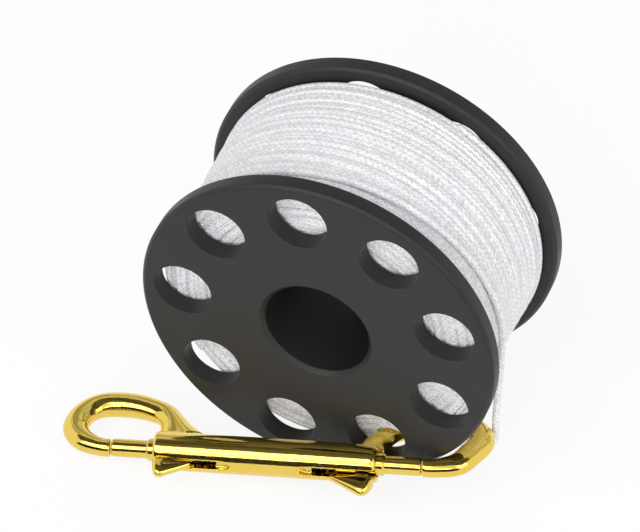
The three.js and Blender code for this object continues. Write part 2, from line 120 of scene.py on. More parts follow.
# Snap: radii of the barrel, the hooks' rod, the bolts and their guides, and lengths along it
BARREL = 5.2
BARREL_EDGE = 0.7
HALF_BARREL = 30.5
WIRE = 2.65
EYE = 19.8
GATE = 12.0
SEAT = 0.3
LEFT_REACH = 25.0
RIGHT_REACH = 27.0
BORE_RADIUS = 3.4
BORE_DEPTH = 27.0
SLOT_LENGTH = 21.5
SLOT_HALF = 1.35
LEAF = 4.2
LEAF_DEPTH = 1.5
OVERRUN = 2
VOXEL = 0.24
BOLT = 2.45
BOLT_EDGE = 0.4
GUIDE = 3.05
GUIDE_EDGE = 0.35
GUIDE_STEP = 0.1
STAND_OUT = 2.0
GUIDE_LENGTH = 13.0
COIL = 2.7
COIL_WIRE = 0.3
COIL_ROOM = 0.35
COIL_TURNS = 7  # count

# The hooks' rows are shares: way out from the barrel's end by the reach, way off its axis by EYE,
# then half thickness in and across the hook's plane by WIRE
LEFT_HOOK = [
    (-0.234, 0.197, 2.80, 1.12),
    (-0.173, 0.380, 1.90, 1.08),
    (-0.104, 0.560, 1.38, 1.06),
    (0.006, 0.735, 1.28, 1.10),
    (0.176, 0.835, 1.28, 1.18),
    (0.392, 0.900, 1.32, 1.26),
    (0.588, 0.905, 1.32, 1.28),
    (0.736, 0.868, 1.32, 1.24),
    (0.851, 0.770, 1.34, 1.16),
    (0.935, 0.590, 1.36, 1.12),
    (0.947, 0.340, 1.36, 1.10),
    (0.832, 0.120, 1.24, 1.08),
]
RIGHT_HOOK = [
    (-0.125, 0.197, 1.90, 1.02),
    (-0.091, 0.328, 1.45, 0.94),
    (-0.035, 0.460, 1.28, 0.92),
    (0.046, 0.612, 1.04, 0.94),
    (0.217, 0.768, 1.00, 0.98),
    (0.444, 0.896, 1.00, 1.00),
    (0.689, 0.950, 1.06, 1.02),
    (0.876, 0.850, 1.20, 1.08),
    (0.974, 0.600, 1.32, 1.12),
    (0.891, 0.332, 1.37, 1.12),
    (0.782, 0.105, 1.28, 1.10),
]
TIP_OFF = -0.012
TIP_THICKNESS = 0.94
HOOK_STEP = 0.6  # millimetres between a hook's sections

# Thumb knobs: way in from the barrel's end, length, downward turn in degrees, drop below the neck
KNOB_PLACE = {"left": (0.6, 10.1, -1.5, 0.0), "right": (0.5, 11.7, 8.0, 0.6)}
KNOB_HEIGHT = 5.2
# Share of the knob's length, then share of its height, or half its width in millimetres
KNOB_RISE = [
    (0, 0.3),
    (0.03, 0.56),
    (0.08, 0.8),
    (0.15, 0.95),
    (0.22, 1),
    (0.28, 0.98),
    (0.38, 0.86),
    (1, 0.06),
]
KNOB_HALF_WIDTH = [(0, 1.7), (0.04, 2.0), (0.12, 2.2), (0.3, 2.1), (1, 0.8)]
KNOB_ROUND = 2.1  # power of its section's curve, where 2 is an ellipse
# The neck: half its width, its ends in from the barrel's end, and its top and foot off the axis
NECK_HALF = 0.6
NECK_ENDS = (5.5, 2)
NECK_SUNK = 0.5
NECK_FOOT = 1.3

# The tail's route from the spool's centre, the same list as in the part's source
TAIL_ROUTE = [
    (46.22, -10.15, -2.2),
    (46.22, -10.15, -4.1),
    (46.12, -10.23, -9),
    (45.9, -10.22, -15),
    (45.61, -10.17, -21.5),
    (45.35, -10.1, -28),
    (45.19, -10.01, -34),
    (45.13, -9.79, -39.44),
    (44.79, -9.53, -41.16),
    (43.88, -9.12, -42.59),
    (42.5, -8.62, -43.52),
    (40.89, -8.06, -43.87),
    (39.43, -7.6, -43.89),
]
TAIL_STEP = 0.45
TAIL_SIDES = 16  # count


# Mesh helpers


def new_object(name, mesh):
    made = bpy.data.objects.new(name, mesh)
    bpy.context.scene.collection.objects.link(made)
    return made


def mesh_object(name, verts, faces):
    mesh = bpy.data.meshes.new(name)
    mesh.from_pydata(verts, [], faces)
    return new_object(name, mesh)


def smooth_edges(mesh, degrees=35):
    mesh.shade_smooth()
    mesh.set_sharp_from_angle(angle=math.radians(degrees))


def flatten(made, degrees=35):
    """Replaces an object's mesh by what its modifiers make of it."""
    depsgraph = bpy.context.evaluated_depsgraph_get()
    mesh = bpy.data.meshes.new_from_object(made.evaluated_get(depsgraph))
    old = made.data
    made.modifiers.clear()
    made.data = mesh
    bpy.data.meshes.remove(old)
    smooth_edges(made.data, degrees)
    return made


def tidy_mesh(mesh):
    """Joins doubled points and turns all faces out."""
    work = bmesh.new()
    work.from_mesh(mesh)
    bmesh.ops.remove_doubles(work, verts=work.verts, dist=1e-7)
    bmesh.ops.recalc_face_normals(work, faces=work.faces)
    work.to_mesh(mesh)
    work.free()


def softened(profile, cut, steps=4):
    """A profile with all corners but its first and last cut back by curves."""
    out = [profile[0]]
    for i in range(1, len(profile) - 1):
        before, corner, after = (np.array(p, float) for p in profile[i - 1 : i + 2])
        room = min(np.linalg.norm(before - corner), np.linalg.norm(after - corner)) * 0.48
        length = min(cut, room)
        start = corner + (before - corner) / np.linalg.norm(before - corner) * length
        end = corner + (after - corner) / np.linalg.norm(after - corner) * length
        for k in range(steps + 1):
            t = k / steps
            out.append(tuple((1 - t) ** 2 * start + 2 * t * (1 - t) * corner + t * t * end))
    out.append(profile[-1])
    return out


def lathe(name, profile, origin, axis, segments, closed=False):
    """Turns a profile of (radius, along) rows in mm about an axis through origin."""
    axis = Vector(axis).normalized()
    side = axis.orthogonal().normalized()
    up = axis.cross(side)
    rows = list(profile)
    if closed:
        rows = rows + [rows[0]]
    verts = []
    for radius, along in rows:
        for k in range(segments):
            angle = 2 * math.pi * k / segments
            place = origin + axis * mm(along)
            place = place + (side * math.cos(angle) + up * math.sin(angle)) * mm(radius)
            verts.append(tuple(place))
    faces = []
    for i in range(len(rows) - 1):
        for k in range(segments):
            a = i * segments + k
            b = i * segments + (k + 1) % segments
            faces.append((a, a + segments, b + segments, b))
    made = mesh_object(name, verts, faces)
    tidy_mesh(made.data)
    smooth_edges(made.data)
    return made


def root_gap(a, b):
    """The square root of the way between two rows' places, by which a centripetal curve steps."""
    return max(np.linalg.norm(b[:3] - a[:3]), 1e-9) ** 0.5


def spline(points, per_span):
    """A centripetal curve through rows of any length, whose first three numbers are a place."""
    rows = np.array(points, float)
    ends = [2 * rows[0] - rows[1], 2 * rows[-1] - rows[-2]]
    rows = np.vstack([ends[0], rows, ends[1]])
    out = []
    for i in range(1, len(rows) - 2):
        p0, p1, p2, p3 = rows[i - 1 : i + 3]
        t0 = 0.0
        t1 = t0 + root_gap(p0, p1)
        t2 = t1 + root_gap(p1, p2)
        t3 = t2 + root_gap(p2, p3)
        for k in range(per_span):
            t = t1 + (t2 - t1) * k / per_span
            a1 = (t1 - t) / (t1 - t0) * p0 + (t - t0) / (t1 - t0) * p1
            a2 = (t2 - t) / (t2 - t1) * p1 + (t - t1) / (t2 - t1) * p2
            a3 = (t3 - t) / (t3 - t2) * p2 + (t - t2) / (t3 - t2) * p3
            b1 = (t2 - t) / (t2 - t0) * a1 + (t - t0) / (t2 - t0) * a2
            b2 = (t3 - t) / (t3 - t1) * a2 + (t - t1) / (t3 - t1) * a3
            out.append((t2 - t) / (t2 - t1) * b1 + (t - t1) / (t2 - t1) * b2)
    out.append(rows[-2])
    return np.array(out)


def lengths_of(points):
    """The way along a path to each of its points."""
    steps = np.linalg.norm(np.diff(points, axis=0), axis=1)
    return np.concatenate([[0.0], np.cumsum(steps)])


def evenly(points, step):
    """The same path with points a step apart."""
    run = lengths_of(points)
    count = max(int(round(run[-1] / step)), 2)
    wanted = np.linspace(0, run[-1], count + 1)
    columns = [np.interp(wanted, run, points[:, i]) for i in range(points.shape[1])]
    return np.stack(columns, axis=1)


def carried_lead(along):
    """A side direction at each point, carried along a path without twisting."""
    up = np.zeros_like(along)
    carried = np.array(Vector(along[0]).orthogonal(), float)
    for i in range(len(along)):
        carried = carried - along[i] * carried.dot(along[i])
        carried /= np.linalg.norm(carried)
        up[i] = carried
    return up


def tube(name, points, wide, high, sides, lead=None):
    """A capped tube through points in metres. wide and high are its half sizes across and along
    lead, its side direction. Its UV map holds the way along in mm and the share of the way round."""
    points = np.asarray(points, float)
    count = len(points)
    wide = np.broadcast_to(np.asarray(wide, float), count)
    high = np.broadcast_to(np.asarray(high, float), count)
    along = np.gradient(points, axis=0)
    along /= np.linalg.norm(along, axis=1)[:, None]
    if lead is None:
        up = carried_lead(along)
    else:
        up = lead - along * (lead * along).sum(1)[:, None]
        up /= np.linalg.norm(up, axis=1)[:, None]
    across = np.cross(along, up)
    angles = 2 * np.pi * np.arange(sides) / sides
    ring = (
        points[:, None, :]
        + up[:, None, :] * (high[:, None] * np.cos(angles))[:, :, None]
        + across[:, None, :] * (wide[:, None] * np.sin(angles))[:, :, None]
    )
    index = np.arange(count - 1)[:, None] * sides
    k = np.arange(sides)[None, :]
    after = (k + 1) % sides
    corners_of = [index + k, index + after, index + after + sides, index + k + sides]
    faces = [tuple(q) for q in np.stack(corners_of, axis=-1).reshape(-1, 4).tolist()]
    faces.append(tuple(range(sides))[::-1])
    faces.append(tuple((count - 1) * sides + i for i in range(sides)))
    run = in_mm(lengths_of(points))
    shape = (count - 1, sides)
    spans = (run[:-1, None], run[1:, None], k / sides, (k + 1) / sides)
    low, top, v0, v1 = (np.broadcast_to(span, shape) for span in spans)
    uv = np.stack([low, v0, low, v1, top, v1, top, v0], axis=-1).reshape(-1)
    uv = np.concatenate([uv, np.zeros(4 * sides)])
    made = mesh_object(name, ring.reshape(-1, 3).tolist(), faces)
    made.data.uv_layers.new(name="way").data.foreach_set("uv", uv.astype(np.float32))
    made.data.shade_smooth()
    return made


def join(name, parts):
    """Joins objects into one under a name."""
    work = bmesh.new()
    for part in parts:
        work.from_mesh(part.data)
        bpy.data.objects.remove(part)
    mesh = bpy.data.meshes.new(name)
    work.to_mesh(mesh)
    work.free()
    return new_object(name, mesh)


def boolean(made, other, operation):
    modifier = made.modifiers.new("cut", "BOOLEAN")
    modifier.operation = operation
    modifier.solver = "EXACT"
    modifier.object = other
    flatten(made)
    bpy.data.objects.remove(other)
    return made


# Materials


class Nodes:
    """Short calls for the nodes of a material or a world."""

    def __init__(self, owner, output="ShaderNodeOutputMaterial"):
        owner.use_nodes = True
        self.owner = owner
        self.tree = owner.node_tree
        self.tree.nodes.clear()
        self.output = self.tree.nodes.new(output)

    def add(self, kind, **values):
        node = self.tree.nodes.new(kind)
        for key, value in values.items():
            setattr(node, key, value)
        return node

    def put(self, socket, value):
        """Links a socket to another, or sets it to a plain value."""
        if isinstance(value, bpy.types.NodeSocket):
            self.tree.links.new(value, socket)
        else:
            socket.default_value = value

    def filled(self, kind, sockets, **values):
        """A node with its sockets, named or numbered, linked or set."""
        node = self.add(kind, **values)
        for key, value in sockets.items():
            self.put(node.inputs[key], value)
        return node

    def surface(self, shader):
        """Shows a shader on the surface and gives back the material or world."""
        self.put(self.output.inputs["Surface"], shader.outputs[0])
        return self.owner

    def place(self):
        return self.add("ShaderNodeTexCoord").outputs["Object"]

    def split(self, vector):
        node = self.filled("ShaderNodeSeparateXYZ", {0: vector})
        return node.outputs["X"], node.outputs["Y"], node.outputs["Z"]

    def math(self, operation, *values):
        return self.filled("ShaderNodeMath", dict(enumerate(values)), operation=operation).outputs[0]

    def noise(self, vector, scale, detail=2.0, roughness=0.5):
        sockets = {"Vector": vector, "Scale": scale, "Detail": detail, "Roughness": roughness}
        return self.filled("ShaderNodeTexNoise", sockets).outputs["Fac"]

    def spread(self, value, low, high, to_low, to_high):
        """Maps one span of values to another, held at its ends."""
        sockets = {
            "Value": value,
            "From Min": low,
            "From Max": high,
            "To Min": to_low,
            "To Max": to_high,
        }
        return self.filled("ShaderNodeMapRange", sockets).outputs["Result"]

    def mix(self, share, a, b, blend="MIX"):
        sockets = {"Factor": share, 6: a, 7: b}
        return self.filled("ShaderNodeMix", sockets, data_type="RGBA", blend_type=blend).outputs[2]

    def mix_shader(self, share, a, b):
        return self.filled("ShaderNodeMixShader", {0: share, 1: a.outputs[0], 2: b.outputs[0]})

    def bump(self, height, strength, distance, before=None):
        sockets = {"Strength": strength, "Distance": mm(distance), "Height": height}
        if before is not None:
            sockets["Normal"] = before
        return self.filled("ShaderNodeBump", sockets).outputs["Normal"]


def colour(r, g, b):
    return (r, g, b, 1.0)


def plastic_material():
    """Satin black plastic with a faint turned grain about the spool's axis."""
    n = Nodes(bpy.data.materials.new("satin_black_plastic"))
    place = n.place()
    x, _, z = n.split(place)
    dx = n.math("SUBTRACT", x, axis_x)
    dz = n.math("SUBTRACT", z, axis_z)
    radius = n.math("SQRT", n.math("ADD", n.math("MULTIPLY", dx, dx), n.math("MULTIPLY", dz, dz)))
    turned = {"W": n.math("MULTIPLY", radius, 1000.0), "Scale": 4.0, "Detail": 3.0}
    rings = n.filled("ShaderNodeTexNoise", turned, noise_dimensions="1D").outputs["Fac"]
    fine = n.noise(place, 5200.0, 2.0)
    broad = n.noise(place, 90.0, 3.0)
    rough = n.math("ADD", n.spread(broad, 0.3, 0.7, 0.42, 0.52), n.spread(rings, 0, 1, -0.03, 0.03))
    sockets = {
        "Base Color": n.mix(broad, colour(0.011, 0.011, 0.0105), colour(0.016, 0.0155, 0.015)),
        "Roughness": rough,
        "IOR": 1.49,
        "Specular IOR Level": 0.38,
        "Normal": n.bump(fine, 0.35, 0.02, n.bump(rings, 0.25, 0.03)),
    }
    return n.surface(n.filled("ShaderNodeBsdfPrincipled", sockets))


BRAID_PITCH = 1.7
BRAID_STRANDS = 4  # count


def line_material():
    """White braid: two families of strands wound opposite ways, read from the tube's UV map."""
    n = Nodes(bpy.data.materials.new("white_braid"))
    way, share_round, _ = n.split(n.add("ShaderNodeUVMap", uv_map="way").outputs[0])
    place = n.place()
    wandering = n.spread(n.noise(place, 420.0, 3.0), 0.3, 0.7, -1.6, 1.6)
    along = n.math("ADD", n.math("MULTIPLY", way, 2 * math.pi / BRAID_PITCH), wandering)
    round_ = n.math("MULTIPLY", share_round, 2 * math.pi * BRAID_STRANDS)
    one = n.math("SINE", n.math("ADD", along, round_))
    two = n.math("SINE", n.math("SUBTRACT", along, round_))
    lump = n.spread(n.math("MAXIMUM", one, two), -0.4, 1.0, 0.0, 1.0)
    fibre = n.noise(place, 2600.0, 2.0, 0.6)
    worn = n.noise(place, 700.0, 2.0, 0.6)
    height = n.math("ADD", lump, n.math("MULTIPLY", fibre, 0.5))
    # Painted shade: the colour darkens where the strands' lumps fall away into the grooves between
    # them, with a random tone from the worn noise added.
    shade = n.math("ADD", n.math("MULTIPLY", lump, 0.5), n.spread(worn, 0.3, 0.7, 0.0, 0.6))
    braid_tone_and_groove_shade = n.mix(shade, colour(0.60, 0.60, 0.62), colour(0.93, 0.93, 0.94))
    patch = n.spread(n.noise(place, 60.0, 2.0), 0.35, 0.65, 0.0, 1.0)
    warm = n.mix(patch, colour(1.0, 0.985, 0.96), colour(0.97, 0.975, 1.0))
    sockets = {
        "Base Color": n.mix(1.0, braid_tone_and_groove_shade, warm, "MULTIPLY"),
        "Roughness": n.spread(fibre, 0.2, 0.8, 0.45, 0.7),
        "Sheen Weight": 0.15,
        "Sheen Roughness": 0.4,
        "Subsurface Weight": 0.12,
        "Subsurface Radius": (0.0012, 0.0012, 0.0012),
        "Subsurface Scale": 1.0,
        "Normal": n.bump(height, 0.7, 0.14),
    }
    return n.surface(n.filled("ShaderNodeBsdfPrincipled", sockets))


def brass_material():
    """Polished cast brass: a mirror with a slow cast ripple and faint polishing haze."""
    n = Nodes(bpy.data.materials.new("polished_brass"))
    place = n.place()
    broad = n.noise(place, 110.0, 2.0)
    fine = n.noise(place, 900.0, 3.0)
    sockets = {
        "Base Color": n.mix(broad, colour(0.80, 0.57, 0.10), colour(0.87, 0.65, 0.15)),
        "Metallic": 1.0,
        "Roughness": n.spread(fine, 0.3, 0.7, 0.07, 0.15),
        "Normal": n.bump(fine, 0.15, 0.01, n.bump(broad, 0.35, 0.25)),
    }
    return n.surface(n.filled("ShaderNodeBsdfPrincipled", sockets))


def bore_shaded_steel_material():
    """Drawn spring wire, its colour darkened to paint the shade that it has inside the barrel's bore.
    """
    n = Nodes(bpy.data.materials.new("spring_steel"))
    fine = n.noise(n.place(), 1500.0, 2.0)
    sockets = {
        # Painted shade: this near-black base colour stands in for the shade inside the bore.
        "Base Color": n.mix(fine, colour(0.05, 0.05, 0.05), colour(0.10, 0.10, 0.10)),
        "Metallic": 1.0,
        "Roughness": n.spread(fine, 0.3, 0.7, 0.35, 0.5),
        "Normal": n.bump(fine, 0.1, 0.02),
    }
    return n.surface(n.filled("ShaderNodeBsdfPrincipled", sockets))


black = plastic_material()
white = line_material()
brass = brass_material()
bore_shaded_steel = bore_shaded_steel_material()


def finish_piece(made, body, material, slot, *nodes):
    """Gives a piece its material, hides the CAD nodes that it stands for, and puts it on its body if
    it has one. slot is not used.
    """
    made.data.materials.clear()
    made.data.materials.append(material)
    if body is not None:
        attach(made, body)
    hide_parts(*nodes)
    return made


# Camera, as measured from the photograph: its place from the front face, over the ground under a
# spool whose centre is 50 mm up, its right, down and forward directions, and its focal length and
# width in pixels

MEASURED_CENTRE = 50.0
MEASURED_PLACE = (315.55, -785.27, 903.94)
FOCAL_PIXELS = 4569.0
WIDTH_PIXELS = 640.0
SENSOR = 36.0

right = Vector((0.92843, 0.37152, 0.0))
down = Vector((0.26013, -0.64994, -0.71409))
forward = Vector((-0.26527, 0.66296, -0.70005))
measured = Vector([mm(value) for value in MEASURED_PLACE])
shift = Vector((axis_x, front_face, axis_z - mm(MEASURED_CENTRE)))
camera_data = bpy.data.cameras.new("camera")
camera = new_object("camera", camera_data)
camera.matrix_world = axes_matrix(measured + shift, right, -down, -forward)
camera_data.sensor_width = SENSOR
camera_data.lens = FOCAL_PIXELS * SENSOR / WIDTH_PIXELS
camera_data.clip_end = 20.0
bpy.context.scene.camera = camera


# Line's free end: the tail, its loop round the right hook, and the knot


def hook_rows(shares, reach, sign):
    """A hook's centreline and half thicknesses in the snap's frame, in metres."""
    rows = []
    for out, off, wide, thick in shares:
        rows.append((HALF_BARREL + out * reach, off * EYE, 0.0, wide, thick))
    for back in (WIRE, 0.0):
        tip = HALF_BARREL + GATE + SEAT + back
        rows.append((tip, TIP_OFF * EYE, 0.0, TIP_THICKNESS, TIP_THICKNESS))
    curve = evenly(spline(rows, 24), HOOK_STEP)
    curve[:, 0] *= sign
    curve[:, :3] *= 0.001
    curve[:, 3:] *= mm(WIRE)
    return curve


left_hook = hook_rows(LEFT_HOOK, LEFT_REACH, -1)
right_hook = hook_rows(RIGHT_HOOK, RIGHT_REACH, 1)


def in_row(points):
    """Points from the snap's frame to the row frame."""
    turn = np.array(snap_matrix)[:3, :3]
    return points @ turn.T + np.array(snap_middle)


def from_centre(row):
    """A place in metres from millimetres off the spool's centre."""
    return np.array(spool_centre) + mm(np.array(row))


def box_middle(node):
    low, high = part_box(node)
    return np.array((low + high) / 2)


def loop_place():
    """The loop's middle on the right hook, the hook's direction there, and its half thickness."""
    route = in_row(right_hook[:, :3])
    nearest = int(np.argmin(np.linalg.norm(route - box_middle("tail_loop"), axis=1)))
    along = route[nearest + 1] - route[nearest - 1]
    return route[nearest], along / np.linalg.norm(along), right_hook[nearest, 3:].max()


loop_centre, knot_along, loop_half = loop_place()
knot_place = box_middle("tail_knot")
knot_up = knot_place - loop_centre
knot_up -= knot_along * knot_up.dot(knot_along)
knot_away = np.linalg.norm(knot_up)
knot_up /= knot_away
knot_side = np.cross(knot_along, knot_up)

# Down from the winding, behind the right hook's bend and into the knot
tail_rows = [tuple(from_centre(row)) for row in TAIL_ROUTE] + [tuple(knot_place)]
tail_path = evenly(spline(tail_rows, 12), mm(TAIL_STEP))
tail = tube("line_end", tail_path, mm(LINE), mm(LINE), TAIL_SIDES)
finish_piece(tail, None, white, "white_line", "line_tail")

LOOP_ROOM = 0.12
LOOP_STEPS = 16  # count
LOOP_GAP = 30  # degrees left open on each side of the knot
LOOP_FOOT = 1.4
LOOP_SPLIT = 1.0


def loop_mesh():
    """From the knot once round the hook and back into the knot."""
    ring = loop_half + mm(LINE) + mm(LOOP_ROOM)
    foot = loop_centre + knot_up * (knot_away - mm(LOOP_FOOT))
    rows = [tuple(knot_place), tuple(foot + knot_side * mm(LOOP_SPLIT))]
    for k in range(LOOP_STEPS + 1):
        angle = math.radians(LOOP_GAP + (360 - 2 * LOOP_GAP) * k / LOOP_STEPS)
        out = knot_up * math.cos(angle) + knot_side * math.sin(angle)
        rows.append(tuple(loop_centre + out * ring))
    rows += [tuple(foot - knot_side * mm(LOOP_SPLIT)), tuple(knot_place)]
    path = evenly(spline(rows, 12), mm(TAIL_STEP))
    return tube("line_loop", path, mm(LINE), mm(LINE), TAIL_SIDES)


KNOT_STEPS = 96  # count
KNOT_LAP = 1.7  # share of the trefoil's second wave
KNOT_WIDE = 0.36
KNOT_HIGH = 0.55
KNOT_LINE = 0.78
KNOT_STEP = 0.25
STUB_WAYS = (0.4, 1.6, 2.9)
STUB_LINE = 0.85
STUB_STEP = 0.3


def knot_mesh():
    """A small tight knot: the line laid once through itself, with its cut end standing out of it."""
    rows = []
    for k in range(KNOT_STEPS):
        t = 2 * math.pi * k / KNOT_STEPS
        x = math.sin(t) + KNOT_LAP * math.sin(2 * t)
        y = math.cos(t) - KNOT_LAP * math.cos(2 * t)
        z = -math.sin(3 * t)
        out = knot_side * x * KNOT_WIDE + knot_along * y * KNOT_WIDE + knot_up * z * KNOT_HIGH
        rows.append(tuple(knot_place + mm(out)))
    rows.append(rows[0])
    tied = tube("tied", evenly(np.array(rows), mm(KNOT_STEP)), mm(KNOT_LINE), mm(KNOT_LINE), 12)
    out = knot_up * 0.8 - knot_along * 0.6
    stub_path = np.array([knot_place + out * mm(way) for way in STUB_WAYS])
    stub = tube("stub", evenly(stub_path, mm(STUB_STEP)), mm(STUB_LINE), mm(STUB_LINE), 14)
    return join("line_knot", [tied, stub])


loop = finish_piece(loop_mesh(), "snap", white, "white_line", "tail_loop")
knot = finish_piece(knot_mesh(), "snap", white, "white_line", "tail_knot")
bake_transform(tail)


# Flanges and hub


def hole_centre(index):
    angle = FIRST_HOLE + index * 2 * math.pi / HOLES
    x = axis_x + mm(HOLE_CIRCLE) * math.cos(angle)
    return Vector((x, 0, axis_z + mm(HOLE_CIRCLE) * math.sin(angle)))


def make_flange(name, low, high):
    """A disc from y = low to high in mm, with a chamfered rim and nine holes with broken edges."""
    rim = in_mm(rim_radius)
    profile = [
        (BORE + BORE_EDGE, low),
        (rim - RIM_EDGE, low),
        (rim, low + RIM_EDGE),
        (rim, high - RIM_EDGE),
        (rim - RIM_EDGE, high),
        (BORE + BORE_EDGE, high),
        (BORE + LINING_ROOM, high - BORE_EDGE),
        (BORE + LINING_ROOM, low + BORE_EDGE),
    ]
    profile = softened(profile + [profile[0]], EDGE_ROUND, 3)
    disc = lathe(name, profile, Vector((axis_x, 0, axis_z)), spool_axis, 288)
    cutter = [
        (0, low - 1),
        (HOLE + HOLE_EDGE + 1, low - 1),
        (HOLE, low + HOLE_EDGE),
        (HOLE, high - HOLE_EDGE),
        (HOLE + HOLE_EDGE + 1, high + 1),
        (0, high + 1),
    ]
    cutters = [lathe("cutter", cutter, hole_centre(i), spool_axis, 96) for i in range(HOLES)]
    boolean(disc, join("cutters", cutters), "DIFFERENCE")
    tidy_mesh(disc.data)
    smooth_edges(disc.data, 30)
    return disc


front_flange = make_flange("flange_front", in_mm(front_face), in_mm(front_inner))
rear_flange = make_flange("flange_rear", in_mm(rear_inner), in_mm(rear_face))
finish_piece(front_flange, "spool", black, "black_plastic", "front_flange")
finish_piece(rear_flange, "spool", black, "black_plastic", "rear_flange")


def make_hub():
    """The hub between the flanges, with thin ends that line the finger bore through them."""
    low, high = in_mm(front_face) + HUB_END, in_mm(rear_face) - HUB_END
    shoulder_low = in_mm(front_inner) + LINING_ROOM
    shoulder_high = in_mm(rear_inner) - LINING_ROOM
    profile = [
        (BORE, low),
        (BORE + LINING, low),
        (BORE + LINING, shoulder_low),
        (HUB, shoulder_low),
        (HUB, shoulder_high),
        (BORE + LINING, shoulder_high),
        (BORE + LINING, high),
        (BORE, high),
    ]
    return lathe("hub_tube", profile, Vector((axis_x, 0, axis_z)), spool_axis, 192, closed=True)


finish_piece(make_hub(), "spool", black, "black_plastic", "hub")


# Winding. Radii, ways y from the front inner face and drops are in millimetres.

WIDTH = in_mm(rear_inner - front_inner)
OUTSIDE = ((0, 45.3), (0.5, 45.7), (0.85, 46.2), (1.0, 46.5))  # share of WIDTH, radius
TURN_WIDE, TURN_HIGH = 1.15, 0.78
ARM_RANGE, ARM_NEAR, ARM_ROOM = 52, 9, 0.25
CORE_END = 1.3
CORE_RADII = (24.02, 42.4, 43.0)  # inside, then outside at the front and at the rear
CORE_UV_ROUND = 8  # the UV map's share of the way round per radian, so that the braid is fine

# A drift is its size, then the slowest and the fastest rate of its waves, in radians per radian
SIDE_TURNS, SIDE_STEPS, SIDE_TUBE = 15, 120, 8  # counts
SIDE_RADII = (25.2, 44.0, 44.2)  # where the side's turns start, end and are held
SIDE_ROOM = 0.3
SIDE_DRIFT = (0.7, 0.3, 2.2)
SIDE_DEPTH_DRIFT = (0.6, 0.3, 2.3)
LAYER_STEPS = 150  # count of points in a turn
LAYER_ROOM = 0.15
LAYER_DRIFT = (0.28, 0.2, 1.3)
LAYER_HEIGHT_DRIFT = (0.12, 0.4, 2.6)
# Whether it runs forward from the rear, its margin at both ends, count of turns, drop under the
# winding's outside, first angle in radians, and count of the tube's sides
LAYERS = (
    (False, 1.2, 25, 1.3, 0.3, 8),
    (True, 1.2, 29, 0.1, 2.1, 10),
    (False, 1.3, 14, -0.08, 4.0, 10),
    (True, 1.3, 11, -0.16, 5.2, 10),
)
LAST_SHARE = 0.6  # share of a turn
LAST_STEPS = 150  # count of points
LAST_START = 1.4  # its first way y
LAST_BEND = 1.6  # power of its crossing
LAST_SUNK = 0.5  # how far under the winding's outside it starts
LAST_CLIMB = 3.2  # times as fast as it goes round
LAST_FOOT = (1.0, 0.0, -0.3)  # heights over the tail's start
LAST_STEP = 0.6


def winding_radius(y):
    """The winding's outer radius at a way y."""
    return np.interp(y / WIDTH, *zip(*OUTSIDE))


arm = in_row(right_hook[:, :3])
arm_half = right_hook[:, 3:].max(axis=1)


def pressed(points):
    """The soft line gives way where the hook's arm lies on it."""
    out = points.copy()
    centre = np.array((axis_x, 0, axis_z))
    inside = np.hypot(arm[:, 0] - axis_x, arm[:, 2] - axis_z) < mm(ARM_RANGE)
    near = arm[inside]
    reach = arm_half[inside] + mm(LINE + ARM_ROOM)
    flat = near - centre
    flat[:, 1] = 0
    for i in range(len(out)):
        if np.linalg.norm(out[i] - near, axis=1).min() > mm(ARM_NEAR):
            continue
        radial = out[i] - centre
        radial[1] = 0
        radius = np.linalg.norm(radial)
        radial /= radius
        toward = near @ radial - centre @ radial
        depth = near[:, 1] - out[i][1]
        beside = (flat**2).sum(axis=1) - (flat @ radial) ** 2 + depth**2
        hit = beside < reach**2
        if hit.any():
            limit = (toward[hit] - np.sqrt(reach[hit] ** 2 - beside[hit])).min()
            if limit < radius:
                out[i] = out[i] - radial * (radius - limit)
    return out


def around(radii, ys, angles):
    """Points in metres from radii, ways y, and angles that run clockwise as seen from the front."""
    x = axis_x + mm(np.cos(angles) * radii)
    z = axis_z - mm(np.sin(angles) * radii)
    return np.stack([x, front_inner + mm(ys), z], axis=1)


def wander(rng, angles, drift):
    """A slow irregular drift along the winding, a sum of five waves."""
    size, slowest, fastest = drift
    waves = 5
    out = np.zeros_like(angles)
    for _ in range(waves):
        rate = rng.uniform(slowest, fastest)
        out += np.sin(angles * rate + rng.uniform(0, 2 * math.pi)) * size / waves**0.5
    return out


def layer(rng, from_rear, margin, turns, drop, first_angle):
    """A layer of turns from one flange to the other."""
    start, end = (WIDTH - margin, margin) if from_rear else (margin, WIDTH - margin)
    share = np.linspace(0, 1, turns * LAYER_STEPS)
    angles = first_angle + share * turns * 2 * math.pi
    ys = start + (end - start) * share + wander(rng, angles, LAYER_DRIFT)
    ys = np.clip(ys, LINE + LAYER_ROOM, WIDTH - LINE - LAYER_ROOM)
    radii = winding_radius(ys) - LINE - drop + wander(rng, angles, LAYER_HEIGHT_DRIFT)
    return around(radii, ys, angles)


def side_spiral(rng, at_front):
    """Turns that show on the winding's side, through the flange's holes."""
    share = np.linspace(0, 1, SIDE_TURNS * SIDE_STEPS)
    angles = share * SIDE_TURNS * 2 * math.pi
    first, last, most = SIDE_RADII
    radii = first + (last - first) * share + wander(rng, angles, SIDE_DRIFT)
    radii = np.minimum(radii, most)
    depth = LINE + SIDE_ROOM + np.abs(wander(rng, angles, SIDE_DEPTH_DRIFT))
    ys = depth if at_front else WIDTH - depth
    return around(radii, ys, angles)


def last_turn():
    """Climbs on top at the front, crosses part of the way back and runs down into the tail."""
    start = np.array(TAIL_ROUTE[0])
    leave = in_mm(spool_centre.y - front_inner) + start[1]
    share = np.linspace(0, 1, LAST_STEPS)
    angles = -LAST_SHARE * 2 * math.pi * (1 - share)
    ys = LAST_START + (leave - LAST_START) * share**LAST_BEND
    under = winding_radius(ys) - LINE - LAST_SUNK
    lift = np.clip(share * LAST_CLIMB, 0, 1)
    radii = under + (start[0] - under) * lift * lift * (3 - 2 * lift)
    foot = from_centre(start)
    run_down = np.array([foot + np.array((0, 0, mm(way))) for way in LAST_FOOT])
    return np.vstack([around(radii, ys, angles), run_down])


